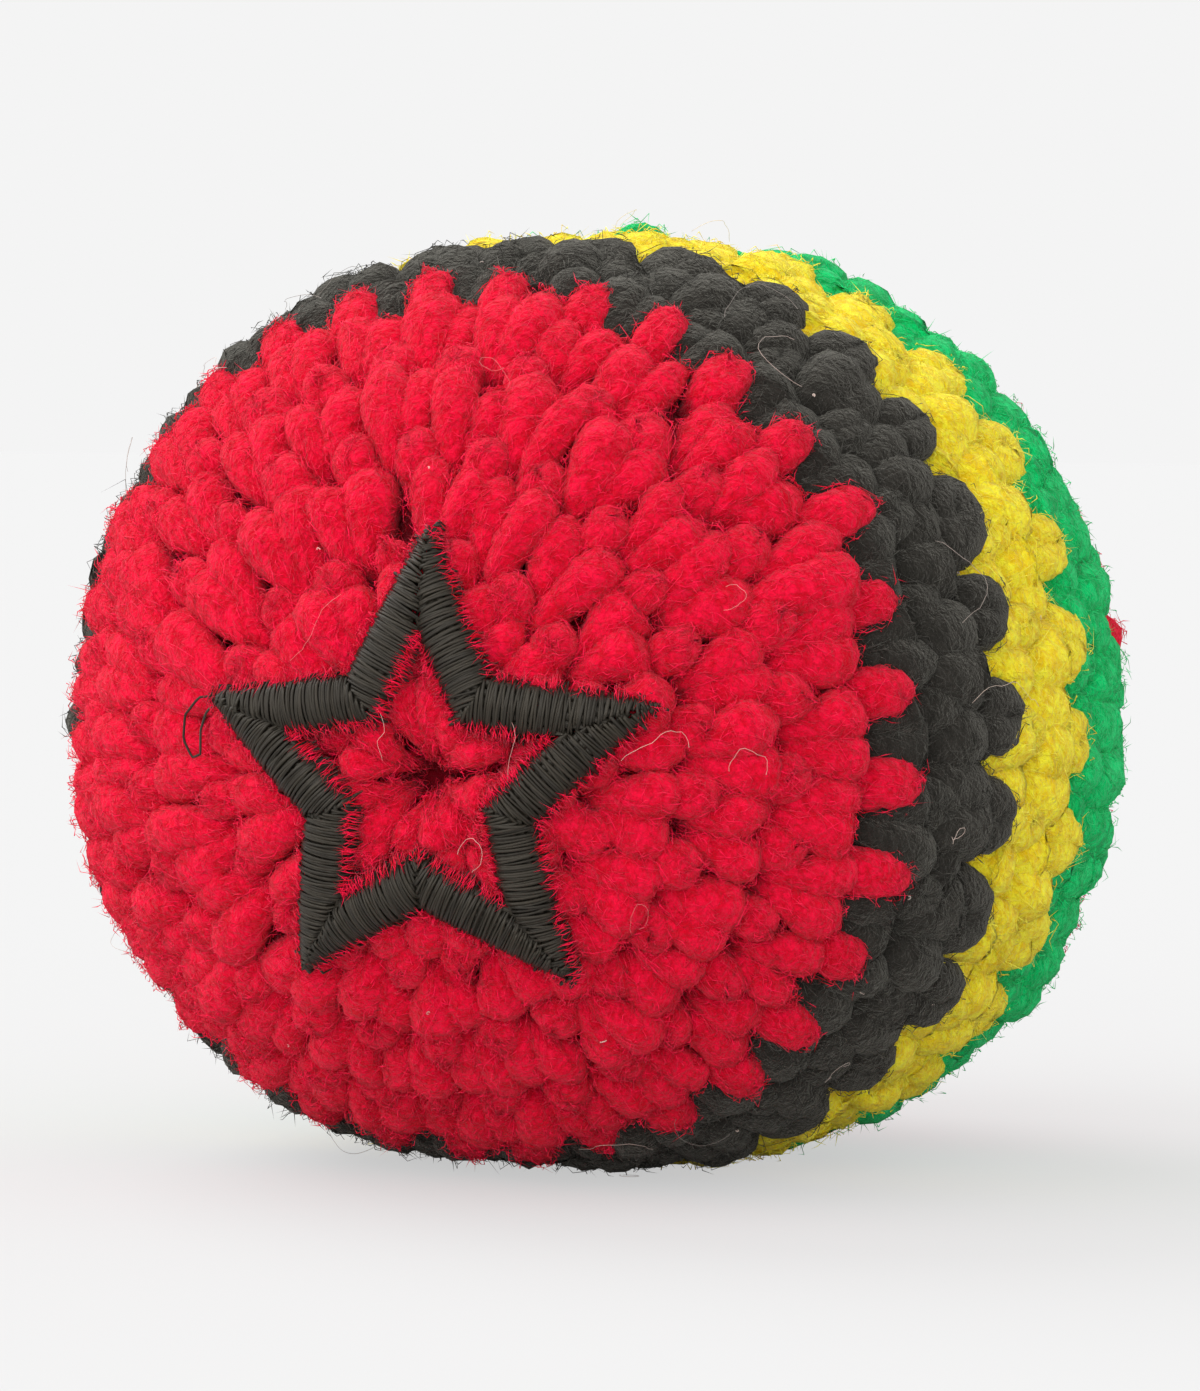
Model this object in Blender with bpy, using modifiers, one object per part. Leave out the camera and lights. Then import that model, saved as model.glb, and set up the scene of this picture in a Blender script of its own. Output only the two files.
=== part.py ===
# A crocheted footbag: five sections of yarn worked in rounds over a fill of plastic pellets.
# Metres, +Z up. The crochet axis lies along Y: the first round faces -Y and the last one +Y.
# The origin is under the middle of the bag, on the surface that it rests on.

import math
import random

import bmesh
import bpy
from mathutils import Vector

mm = 0.001

# The bag at rest, over the yarn
bag_width = 55.0 * mm
bag_length = 55.5 * mm
bag_height = 50.0 * mm
widest_height = 23.6 * mm      # from the surface below up to the widest level
rest_flattening = 0.4 * mm     # how much the bag's own weight presses flat underneath
section_exponent = 2.16        # 2 is an ellipsoid, and more is squarer

# The crochet: each section is one colour of yarn, with its number of rounds
front_cap_round_count = 5
band_round_count = 2
back_cap_round_count = 6
cap_round_height = 5.5 * mm    # in the front cap, where a round is least stretched sideways
band_round_height = 4.0 * mm
sections = (
    ("red_front_cap", front_cap_round_count, "red"),
    ("black_band", band_round_count, "black"),
    ("yellow_band", band_round_count, "yellow"),
    ("green_band", band_round_count, "green"),
    ("red_back_cap", back_cap_round_count, "red"),
)
stitches = 32                  # in a full round; the rounds of a cap grow to it evenly
drift_share = 0.17             # of a stitch, that each round lies past the one before
wall = 3.0 * mm                # a stitch is one plump yarn thick
ridge_height = 0.45 * mm       # the middle of a round stands proud
hole_depth = 0.8 * mm          # between the legs of each stitch
lobe_reach = 2.4 * mm          # how far a stitch's lobes reach into the next round
seam_gap = 0.45 * mm           # between two colours, along the meridian

# The pulled-up first round, and the last one drawn shut
start_right = 4.0 * mm         # the first round sits off the axis, as hand work does
start_drop = 1.5 * mm
start_dimple_depth = 1.6 * mm
start_dimple_radius = 2.6 * mm
close_dimple_depth = 2.8 * mm
close_dimple_radius = 4.6 * mm
close_hole_radius = 1.6 * mm   # at its narrow end, inside the bag

# The knot that holds the last round shut
knot_radius = 2.5 * mm
knot_height = 2.3 * mm
seat_clearance = 0.3 * mm      # also under the embroidery

# The satin-stitched star on the front cap
star_tips = 5
star_radius = 12.4 * mm        # out to the tips
star_waist_share = 0.5         # of star_radius, at the corners between tips
stroke_width = 2.4 * mm
thread_height = 0.9 * mm
stroke_edge_share = 0.6        # of thread_height, along both edges of a stroke

# The pellets, settled into one mass
fill_clearance = 0.6 * mm
pellet_size = 3.6 * mm
pellet_relief = 0.5 * mm       # how much the outer pellets differ in depth
pellet_seed = 7

# How finely round forms are divided
steps_per_stitch = 3
points_per_round = 2
star_side_points = 5
knot_steps = 14
knot_arc_points = 5
fill_subdivisions = 3
weld_distance = 0.00001

half_width = bag_width / 2
half_length = bag_length / 2
upper_height = bag_height - widest_height
lower_height = widest_height + rest_flattening
mean_radius = (bag_width + bag_length + bag_height) / 6
total_round_count = sum(rounds for name, rounds, colour in sections)
all_band_round_count = total_round_count - front_cap_round_count - back_cap_round_count
front_cap_angle = front_cap_round_count * cap_round_height / mean_radius
bands_angle = all_band_round_count * band_round_height / mean_radius
back_cap_angle = math.pi - front_cap_angle - bands_angle
stitch_angle = 2 * math.pi / stitches
close_hole_angle = math.asin(close_hole_radius / (half_length - close_dimple_depth - wall))
close_direction = Vector((0, 1, 0))

colours = {
    "red": (0.68, 0.008, 0.035, 1.0),
    "black": (0.022, 0.021, 0.018, 1.0),
    "yellow": (0.72, 0.56, 0.035, 1.0),
    "green": (0.008, 0.4, 0.11, 1.0),
    "thread": (0.012, 0.012, 0.011, 1.0),
    "pellet": (0.75, 0.75, 0.72, 1.0),
}
roughnesses = {"thread": 0.45, "pellet": 0.35}
yarn_roughness = 0.9


def clear_scene():
    for item in list(bpy.data.objects):
        bpy.data.objects.remove(item, do_unlink=True)


def finish_material(colour):
    """A plain material of its own for one piece."""
    material = bpy.data.materials.new(colour)
    material.use_nodes = True
    shader = material.node_tree.nodes["Principled BSDF"]
    shader.inputs["Base Color"].default_value = colours[colour]
    shader.inputs["Roughness"].default_value = roughnesses.get(colour, yarn_roughness)
    shader.inputs["Metallic"].default_value = 0.0
    return material


def add_piece(name, mesh, colour, collection, centre):
    """Puts a mesh in the bag, on the empty that marks the bag's centre."""
    piece = bpy.data.objects.new(name, mesh)
    piece.data.materials.append(finish_material(colour))
    collection.objects.link(piece)
    piece.parent = centre
    return piece


def start_direction():
    """From the bag's centre to the middle of the first round."""
    return Vector((start_right, -half_length, -start_drop)).normalized()


def dimple(direction, middle, depth, radius):
    """How far the surface is drawn in near a pole."""
    arc = direction.angle(middle) * mean_radius
    return depth * math.exp(-((arc / radius) ** 2))


def bag_reach(direction, spread=0):
    """How far the smooth bag reaches from its centre; spread widens both dimples."""
    half_height = upper_height if direction.z > 0 else lower_height
    across = abs(direction.x / half_width) ** section_exponent
    along = abs(direction.y / half_length) ** section_exponent
    up = abs(direction.z / half_height) ** section_exponent
    reach = (across + along + up) ** (-1 / section_exponent)
    reach -= dimple(direction, start_direction(), start_dimple_depth, start_dimple_radius + spread)
    reach -= dimple(direction, close_direction, close_dimple_depth, close_dimple_radius + spread)
    return reach


def on_bag(direction, depth, relief=0, spread=0):
    """The point at a depth in the bag, pressed flat where the bag rests."""
    reach = bag_reach(direction, spread)
    point = direction * (reach - depth + relief)
    floor = depth - widest_height
    if direction.z * reach < -widest_height:
        point.z = floor
    point.z = max(point.z, floor)
    return point


def rounds_to(polar):
    """How many rounds lie between the front pole and a polar angle."""
    if polar < front_cap_angle:
        return front_cap_round_count * polar / front_cap_angle
    if polar < front_cap_angle + bands_angle:
        return front_cap_round_count + all_band_round_count * (polar - front_cap_angle) / bands_angle
    return total_round_count - back_cap_round_count * (math.pi - polar) / back_cap_angle


def polar_of(rounds):
    """The polar angle after a number of rounds, the other way about."""
    if rounds < front_cap_round_count:
        return front_cap_angle * rounds / front_cap_round_count
    if rounds < front_cap_round_count + all_band_round_count:
        return front_cap_angle + bands_angle * (rounds - front_cap_round_count) / all_band_round_count
    return math.pi - back_cap_angle * (total_round_count - rounds) / back_cap_round_count


def stitches_in(round_number):
    """How many stitches a round has: the caps grow evenly from their poles to a full round."""
    from_front = round_number / front_cap_round_count
    from_back = (total_round_count + 1 - round_number) / back_cap_round_count
    return round(stitches * min(from_front, from_back, 1))


def fullness(polar):
    """0 in the first half of the first round from either pole, and 1 from its end on."""
    rounds_in = rounds_to(polar)
    return min(max(2 * min(rounds_in, total_round_count - rounds_in) - 1, 0), 1)


def stitch_wave(polar, around):
    """1 on the hole between the legs of a stitch, -1 on the lobe between two stitches."""
    nearest_round = math.floor(rounds_to(polar) + 0.5)
    return math.cos(stitches_in(nearest_round) * around) * fullness(polar)


def crochet_direction(polar, around):
    """Where a point of the crochet lies, seen from the bag's centre."""
    lobed = polar - stitch_wave(polar, around) * lobe_reach / 2 / mean_radius
    turned = around + drift_share * stitch_angle * rounds_to(polar)
    sideways = math.sin(lobed)
    direction = Vector((sideways * math.sin(turned), -math.cos(lobed), sideways * math.cos(turned)))
    near_start = max(1 - lobed / front_cap_angle, 0)
    shift = start_direction() - Vector((0, -1, 0))
    return (direction + shift * near_start).normalized()


def stitch_relief(polar, around):
    """Rounds stand proud in the middle, and sink into a hole between a stitch's legs."""
    place = math.pi * rounds_to(polar)
    hole = (1 + stitch_wave(polar, around)) / 2 * fullness(polar)
    return ridge_height * math.sin(place) ** 2 - hole_depth * math.cos(place) ** 2 * hole


def section_profile(first_round, rounds):
    """A closed line round the section's wall, as (polar angle, depth) pairs."""
    low = polar_of(first_round)
    high = polar_of(first_round + rounds)
    half_gap = seam_gap / 2 / mean_radius
    if first_round > 0:
        low += half_gap
    if first_round + rounds < total_round_count:
        high -= half_gap
    else:
        high -= close_hole_angle
    outer_points = rounds * points_per_round
    outer = [(low + (high - low) * i / outer_points, 0) for i in range(outer_points + 1)]
    inner = [(high - (high - low) * i / rounds, wall) for i in range(rounds + 1)]
    return outer + inner


def build_section(name, first_round, rounds, colour, collection, centre):
    """Spins the wall's profile into a ring or a cap, then works it into crochet."""
    profile = section_profile(first_round, rounds)
    mesh = bmesh.new()
    line = []
    for polar, depth in profile:
        radius = 1 - depth / mean_radius
        line.append(mesh.verts.new((0, -radius * math.cos(polar), radius * math.sin(polar))))
    edges = [mesh.edges.new(pair) for pair in zip(line, line[1:])]
    if first_round > 0:
        edges.append(mesh.edges.new((line[-1], line[0])))
    bmesh.ops.spin(
        mesh,
        geom=line + edges,
        cent=(0, 0, 0),
        axis=(0, 1, 0),
        angle=2 * math.pi,
        steps=stitches * steps_per_stitch,
        use_merge=True,
    )
    bmesh.ops.remove_doubles(mesh, verts=mesh.verts, dist=weld_distance)
    for vertex in mesh.verts:
        radius = vertex.co.length
        depth = (1 - radius) * mean_radius
        polar = math.acos(max(min(-vertex.co.y / radius, 1), -1))
        around = math.atan2(vertex.co.x, vertex.co.z)
        relief = stitch_relief(polar, around) if depth < wall / 2 else 0
        vertex.co = on_bag(crochet_direction(polar, around), depth, relief)
    bmesh.ops.recalc_face_normals(mesh, faces=mesh.faces)
    data = bpy.data.meshes.new(name)
    mesh.to_mesh(data)
    mesh.free()
    data.shade_smooth()
    return add_piece(name, data, colour, collection, centre)


def star_outline(scale):
    """The star's corners from its top tip clockwise, with points along each side."""
    corners = []
    for i in range(2 * star_tips):
        radius = star_radius * (1 if i % 2 == 0 else star_waist_share) * scale
        turn = math.pi * i / star_tips
        corners.append(Vector((radius * math.sin(turn), radius * math.cos(turn), 0)))
    points = []
    for corner, following in zip(corners, corners[1:] + corners[:1]):
        for i in range(star_side_points):
            points.append(corner.lerp(following, i / star_side_points))
    return points


def build_star(collection, centre):
    """A star outline of one crowned stroke, laid over the rounds of the front cap."""
    tip_to_waist = math.pi / star_tips
    waist = star_waist_share * Vector((math.sin(tip_to_waist), math.cos(tip_to_waist)))
    side_length = star_radius * (Vector((0, 1)) - waist).length
    side_distance = star_radius ** 2 * star_waist_share * math.sin(tip_to_waist) / side_length
    mesh = bmesh.new()
    outlines = []
    for scale in (1, 1 - stroke_width / side_distance):
        ring = [mesh.verts.new(place) for place in star_outline(scale)]
        outlines += [mesh.edges.new(pair) for pair in zip(ring, ring[1:] + ring[:1])]
    bmesh.ops.bridge_loops(mesh, edges=outlines)
    across_stroke = [edge for edge in mesh.edges if edge not in outlines]
    bmesh.ops.subdivide_edges(mesh, edges=across_stroke, cuts=1)
    extruded = bmesh.ops.extrude_face_region(mesh, geom=mesh.faces[:])
    top = [item for item in extruded["geom"] if isinstance(item, bmesh.types.BMVert)]
    bmesh.ops.translate(mesh, verts=top, vec=(0, 0, thread_height * stroke_edge_share))
    bmesh.ops.recalc_face_normals(mesh, faces=mesh.faces)
    crest = [v for v in top if all(face.normal.z > 0.5 for face in v.link_faces)]
    bmesh.ops.translate(mesh, verts=crest, vec=(0, 0, thread_height * (1 - stroke_edge_share)))

    out = start_direction()
    right = Vector((0, 0, 1)).cross(out).normalized()
    up = out.cross(right)
    for vertex in mesh.verts:
        arc = math.hypot(vertex.co.x, vertex.co.y)
        angle = arc / mean_radius
        sideways = (right * vertex.co.x + up * vertex.co.y) / arc
        direction = out * math.cos(angle) + sideways * math.sin(angle)
        vertex.co = on_bag(direction, 0, ridge_height + seat_clearance + vertex.co.z)
    data = bpy.data.meshes.new("star_embroidery")
    mesh.to_mesh(data)
    mesh.free()
    return add_piece("star_embroidery", data, "thread", collection, centre)


def build_knot(collection, centre):
    """The knot: a flattened bulb on a shank through the closing hole, turned about its axis."""
    shank_radius = close_hole_radius - seat_clearance
    surface = bag_reach(close_direction)
    seat = surface + ridge_height + seat_clearance
    middle = seat + knot_height / 2
    profile = [(0, seat + knot_height)]
    for i in range(1, knot_arc_points + 1):
        turn = math.pi / 2 - math.pi * i / (knot_arc_points + 1)
        profile.append((knot_radius * math.cos(turn), middle + knot_height / 2 * math.sin(turn)))
    profile.append((shank_radius, seat))
    profile.append((shank_radius, surface - wall))
    profile.append((0, surface - wall))
    data = bpy.data.meshes.new("closing_knot")
    edges = [(i, i + 1) for i in range(len(profile) - 1)]
    data.from_pydata([(radius, 0, height) for radius, height in profile], edges, [])
    knot = add_piece("closing_knot", data, "red", collection, centre)
    knot.rotation_euler.x = -math.pi / 2
    screw = knot.modifiers.new("turn", "SCREW")
    screw.axis = "Z"
    screw.steps = knot_steps
    screw.render_steps = knot_steps
    screw.use_merge_vertices = True
    screw.merge_threshold = weld_distance
    return knot


def build_fill(collection, centre):
    """The pellets as one settled mass, each outer pellet at a depth of its own."""
    chance = random.Random(pellet_seed)
    mesh = bmesh.new()
    bmesh.ops.create_icosphere(mesh, subdivisions=fill_subdivisions, radius=1)
    for vertex in mesh.verts:
        depth = wall + fill_clearance + chance.random() * pellet_relief
        vertex.co = on_bag(vertex.co.normalized(), depth, spread=pellet_size)
    data = bpy.data.meshes.new("pellet_fill")
    mesh.to_mesh(data)
    mesh.free()
    return add_piece("pellet_fill", data, "pellet", collection, centre)


def build_footbag():
    clear_scene()
    collection = bpy.data.collections.new("footbag")
    bpy.context.scene.collection.children.link(collection)
    centre = bpy.data.objects.new("bag_centre", None)
    centre.location = (0, 0, widest_height)
    collection.objects.link(centre)
    first_round = 0
    for name, rounds, colour in sections:
        build_section(name, first_round, rounds, colour, collection, centre)
        first_round += rounds
    build_star(collection, centre)
    build_knot(collection, centre)
    build_fill(collection, centre)


build_footbag()
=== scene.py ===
import math

import bmesh
import bpy
import numpy as np
from mathutils import Euler, Matrix, Vector


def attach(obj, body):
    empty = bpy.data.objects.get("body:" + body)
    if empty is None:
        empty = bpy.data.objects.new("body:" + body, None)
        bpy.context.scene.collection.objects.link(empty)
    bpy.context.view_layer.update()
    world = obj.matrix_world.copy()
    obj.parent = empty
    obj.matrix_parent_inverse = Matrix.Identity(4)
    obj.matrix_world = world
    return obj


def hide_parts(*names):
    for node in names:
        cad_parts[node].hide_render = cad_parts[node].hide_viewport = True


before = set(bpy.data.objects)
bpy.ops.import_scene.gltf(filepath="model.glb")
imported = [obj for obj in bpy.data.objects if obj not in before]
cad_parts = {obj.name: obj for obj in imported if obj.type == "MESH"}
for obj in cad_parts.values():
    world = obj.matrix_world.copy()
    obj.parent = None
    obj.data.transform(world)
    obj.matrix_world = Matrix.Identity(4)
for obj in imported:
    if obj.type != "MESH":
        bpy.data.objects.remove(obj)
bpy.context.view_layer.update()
print("frame loaded")

mm = 0.001
weldDistance = 0.003 * mm         # points nearer than this are one

# The bag's form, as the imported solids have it. Places are reckoned from its centre.
bag = {
    "width": 55.0 * mm,
    "length": 55.5 * mm,
    "height": 50.0 * mm,
    "widestHeight": 23.6 * mm,    # above the floor
    "flattening": 0.4 * mm,       # pressed flat underneath
    "exponent": 2.16,
    "startRight": 4.0 * mm,       # the first round sits off the axis
    "startDrop": 1.5 * mm,
    "startDimpleDepth": 1.6 * mm,
    "startDimpleRadius": 2.6 * mm,
    "closeDimpleDepth": 2.8 * mm,
    "closeDimpleRadius": 4.6 * mm,
    "closeHoleRadius": 1.6 * mm,
    "wall": 3.0 * mm,
}

# Rounds are counted from the middle of the front cap
crochet = {
    "stitches": 32,               # in a full round
    "frontRounds": 5,
    "bandRounds": 6,              # of the three bands together
    "backRounds": 6,
    "capRound": 5.5 * mm,         # height of a round in the front cap
    "bandRound": 4.0 * mm,
    "drift": 0.17,                # of a stitch, each round past the one before
    "crease": 1.1 * mm,           # the stitches end this far below the line to the next round
    "lastBandExtra": 1.3 * mm,    # the green band's last stitches are this much longer
    "seed": 12,
}

halfWidth = bag["width"] / 2
halfLength = bag["length"] / 2
upperHeight = bag["height"] - bag["widestHeight"]
lowerHeight = bag["widestHeight"] + bag["flattening"]
meanRadius = (bag["width"] + bag["length"] + bag["height"]) / 6
bagCentre = np.array([0, 0, bag["widestHeight"]])
startMiddle = np.array([bag["startRight"], -halfLength, -bag["startDrop"]])
startMiddle /= np.linalg.norm(startMiddle)
closeMiddle = np.array([0.0, 1.0, 0.0])
totalRounds = crochet["frontRounds"] + crochet["bandRounds"] + crochet["backRounds"]
frontAngle = crochet["frontRounds"] * crochet["capRound"] / meanRadius
bandAngle = crochet["bandRounds"] * crochet["bandRound"] / meanRadius
rng = np.random.default_rng(crochet["seed"])


def bagReach(direction):
    halfHeight = np.where(direction[..., 2] > 0, upperHeight, lowerHeight)
    power = bag["exponent"]
    total = np.abs(direction[..., 0] / halfWidth) ** power
    total += np.abs(direction[..., 1] / halfLength) ** power
    total += np.abs(direction[..., 2] / halfHeight) ** power
    reach = total ** (-1 / power)
    for middle, name in ((startMiddle, "start"), (closeMiddle, "close")):
        arc = np.arccos(np.clip(direction @ middle, -1, 1)) * meanRadius
        reach -= bag[name + "DimpleDepth"] * np.exp(-((arc / bag[name + "DimpleRadius"]) ** 2))
    return reach


# A point at a depth in the bag. Nothing thicker than twice the clearance goes through the floor.
def onBag(direction, depth, clearance):
    point = direction * (bagReach(direction) - depth)[..., None]
    lowest = clearance - bag["widestHeight"]
    point[..., 2] = np.maximum(point[..., 2], lowest)
    return point + bagCentre


def polarOf(rounds):
    marks = [0, crochet["frontRounds"], totalRounds - crochet["backRounds"], totalRounds]
    return np.interp(rounds, marks, [0, frontAngle, frontAngle + bandAngle, math.pi])


# Where the crochet goes: polar is the angle from the first round, around is clockwise from the top
def crochetDirection(polar, around):
    sideways = np.sin(polar)
    direction = np.stack([sideways * np.sin(around), -np.cos(polar), sideways * np.cos(around)], -1)
    nearStart = np.maximum(1 - polar / frontAngle, 0)[..., None]
    direction = direction + (startMiddle - np.array([0, -1, 0])) * nearStart
    return direction / np.linalg.norm(direction, axis=-1, keepdims=True)


def stitchesIn(roundNumber):
    fromFront = roundNumber / crochet["frontRounds"]
    fromBack = (totalRounds + 1 - roundNumber) / crochet["backRounds"]
    return round(crochet["stitches"] * min(fromFront, fromBack, 1))


# Where the middles of a round's stitches lie around the axis, and their width in radians
def stitchTurns(roundNumber):
    count = stitchesIn(roundNumber)
    drift = 2 * math.pi / crochet["stitches"] * crochet["drift"] * (roundNumber - 1)
    return 2 * math.pi * np.arange(count) / count + drift, 2 * math.pi / count


def creaseAt(roundNumber):
    below = crochet["crease"]
    if roundNumber == totalRounds - crochet["backRounds"]:
        below -= crochet["lastBandExtra"]
    return polarOf(roundNumber) - below / meanRadius


# The five yarns. A stitch shows as a V of two arms, and its head as a tooth that comes up from
# under them, between the next round's stitches. A yarn's last teeth lie over the next yarn.
# "full" thickens the arms, "rise" brings them out, "lowRoots" brings the lower ends of the arms
# inside the section near to those of a join, and "sunk" sets the teeth inside it deeper.
sections = [
    {"name": "red_front", "node": "red_front_cap", "slot": "red_yarn", "yarn": "red", "rounds": 5,
     "joins": False, "lowRoots": 0.5, "sunk": 0.25 * mm,
     "full": 1.0, "rise": 0.2 * mm, "toothHalf": 0.25 * mm, "toothRadius": 1.1 * mm,
     "toothReach": 3.2 * mm},
    {"name": "black", "node": "black_band", "slot": "black_yarn", "yarn": "black", "rounds": 2,
     "joins": True, "lowRoots": 0.15, "sunk": 0.5 * mm,
     "full": 1.2, "rise": 0.33 * mm, "toothHalf": 0.8 * mm, "toothRadius": 1.45 * mm,
     "toothReach": 2.9 * mm},
    {"name": "yellow", "node": "yellow_band", "slot": "yellow_yarn", "yarn": "yellow", "rounds": 2,
     "joins": True, "lowRoots": 0.25, "sunk": 0.4 * mm,
     "full": 1.15, "rise": 0.22 * mm, "toothHalf": 0.7 * mm, "toothRadius": 1.4 * mm,
     "toothReach": 3.7 * mm},
    {"name": "green", "node": "green_band", "slot": "green_yarn", "yarn": "green", "rounds": 2,
     "joins": True, "lowRoots": 0.15, "sunk": 0.5 * mm,
     "full": 1.15, "rise": 0.36 * mm, "toothHalf": 1.1 * mm, "toothRadius": 1.5 * mm,
     "toothReach": 4.4 * mm},
    {"name": "red_back", "node": "red_back_cap", "slot": "red_yarn", "yarn": "red", "rounds": 6,
     "joins": True, "lowRoots": 0.5, "sunk": 0.25 * mm,
     "full": 1.0, "rise": 0.3 * mm, "toothHalf": 0.3 * mm, "toothRadius": 1.1 * mm,
     "toothReach": 2.0 * mm},
]
firstRound = 1
for section in sections:
    section["firstRound"] = firstRound
    firstRound += section["rounds"]

# One arm of a V, from its root up: how far along, how far sideways (of the spread), the height of
# its top over the bag in mm, thickness. Those of a new yarn join it between the teeth of the last,
# low and close together.
armShape = {
    "along": [0.0, 0.04, 0.1, 0.2, 0.32, 0.45, 0.57, 0.68, 0.79, 0.87, 0.93, 0.975, 1.0],
    "sideways": [0.5, 0.52, 0.58, 0.68, 0.8, 0.9, 0.97, 1.0, 1.0, 1.0, 1.0, 1.0, 1.0],
    "joinSideways": [0.2, 0.22, 0.27, 0.34, 0.43, 0.54, 0.68, 0.83, 0.95, 1.0, 1.0, 1.0, 1.0],
    "top": [-2.3, -1.7, -1.0, -0.4, 0.1, 0.33, 0.42, 0.42, 0.3, 0.05, -0.3, -0.75, -1.3],
    "joinTop": [-2.3, -1.9, -1.5, -1.1, -0.75, -0.45, -0.1, 0.15, 0.2, 0.0, -0.35, -0.8, -1.3],
    "thickness": [0.45, 0.5, 0.62, 0.8, 0.94, 1.02, 1.05, 1.05, 0.98, 0.84, 0.64, 0.38, 0.06],
    "joinThickness": [0.42, 0.45, 0.48, 0.54, 0.62, 0.74, 0.88, 0.96, 0.94, 0.82, 0.62, 0.37, 0.06],
    "radius": 0.355,              # of the stitch's width
    "least": 0.3 * mm,            # and no thinner or thicker than this
    "most": 2.15 * mm,
    "spread": 0.25,               # of the stitch's width, from its middle to the middle of an arm
    "clearance": 0.3 * mm,        # from the floor
    "fromStart": 0.035,           # radians, the nearest that the first round comes to its middle
    "fromClose": 0.11,            # and the last one
    "sides": 12,
    "twist": 0.42 / mm,           # radians
    "stretch": 1.15,              # an arm's length, as a share of the way that it spans
}
armSteps = np.linspace(0, 1, len(armShape["along"]))

# A tooth, from its left foot over the top to its right foot, in the same way
toothShape = {
    "along": [0.0, 0.22, 0.5, 0.75, 0.89, 0.95, 0.985, 1.0, 0.985, 0.95, 0.89, 0.75, 0.5, 0.22, 0.0],
    "sideways": [-1.0, -1.0, -1.0, -0.98, -0.9, -0.7, -0.38, 0.0, 0.38, 0.7, 0.9, 0.98, 1.0, 1.0, 1.0],
    "top": [-1.6, -0.5, 0.1, 0.3, 0.33, 0.33, 0.32, 0.3, 0.32, 0.33, 0.33, 0.3, 0.1, -0.5, -1.6],
    "thickness": [0.85, 1.0, 1.05, 1.03, 1.0, 1.0, 1.0, 1.0, 1.0, 1.0, 1.0, 1.03, 1.05, 1.0, 0.85],
    "radius": 1.3 * mm,           # inside a section
    "half": 0.35 * mm,            # half the distance between the feet, inside a section
    "reach": 2.6 * mm,            # past the crease, inside a section
    "rootBelow": 0.8 * mm,
    "fullPitch": 4.6 * mm,        # between stitches; where they are closer, teeth are smaller
}
toothSteps = np.linspace(0, 1, len(toothShape["along"]))

# How uneven the hand work is: shares of a stitch's width or of the yarn's thickness, or lengths
unevenness = {"middle": 0.06, "side": 0.17, "low": 0.25 * mm, "high": 0.4 * mm, "lift": 0.22 * mm,
              "size": 0.11, "lumps": 0.1, "lumpWaves": 1.4, "toothMiddle": 0.025,
              "toothHigh": 0.2 * mm, "bulges": 0.44 * mm, "bulgeSize": 1.1 * mm}


def makeArms(section, roundNumber):
    turns, pitch = stitchTurns(roundNumber)
    count = 2 * len(turns)
    low = max(creaseAt(roundNumber - 1), armShape["fromStart"])
    high = min(creaseAt(roundNumber), math.pi - armShape["fromClose"])
    joins = 1.0 if section["joins"] and roundNumber == section["firstRound"] else section["lowRoots"]
    wander = rng.normal(0, unevenness["middle"], len(turns)) * pitch
    spread = armShape["spread"] * (1 + rng.normal(0, unevenness["side"], count))
    return {
        "middle": np.repeat(turns + wander, 2),
        "side": np.tile([-1.0, 1.0], len(turns)) * spread * pitch,
        "low": low + rng.normal(0, unevenness["low"], count) / meanRadius,
        "high": high + rng.normal(0, unevenness["high"], count) / meanRadius,
        "pitch": np.full(count, pitch),
        "lift": section["rise"] + rng.normal(0, unevenness["lift"], count),
        "size": section["full"] * (1 + rng.normal(0, unevenness["size"], count)),
        "lumps": rng.uniform(0, 2 * math.pi, count),
        "join": np.full(count, joins),
    }


def makeTeeth(section, roundNumber):
    turns, pitch = stitchTurns(roundNumber + 1)
    count = len(turns)
    last = roundNumber == section["firstRound"] + section["rounds"] - 1
    crease = creaseAt(roundNumber)
    room = min(pitch * math.sin(crease) * meanRadius / toothShape["fullPitch"], 1)
    radius = (section["toothRadius"] if last else toothShape["radius"]) * room
    reach = (section["toothReach"] if last else toothShape["reach"] * room) - radius
    half = (section["toothHalf"] if last else toothShape["half"]) * room
    return {
        "middle": turns + pitch * (0.5 + rng.normal(0, unevenness["toothMiddle"], count)),
        "low": np.full(count, crease - toothShape["rootBelow"] / meanRadius),
        "high": crease + (reach + rng.normal(0, unevenness["toothHigh"], count)) / meanRadius,
        "half": np.full(count, half),
        "radius": radius * (1 + rng.normal(0, unevenness["size"], count)),
        "lift": (section["rise"] - (0 if last else section["sunk"])
                 + rng.normal(0, unevenness["lift"] / 2, count)),
        "lumps": rng.uniform(0, 2 * math.pi, count),
    }


def joinRounds(rounds):
    return {name: np.concatenate([some[name] for some in rounds]) for name in rounds[0]}


def lumpiness(s, phase):
    return 1 + unevenness["lumps"] * np.sin(2 * math.pi * unevenness["lumpWaves"] * s + phase)


# The arms' shape at s, for arms that are the share join on the way to those of a new yarn
def armValue(name, s, join):
    inside = np.interp(s, armSteps, armShape[name])
    joined = np.interp(s, armSteps, armShape["join" + name.capitalize()])
    return inside * (1 - join) + joined * join


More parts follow.
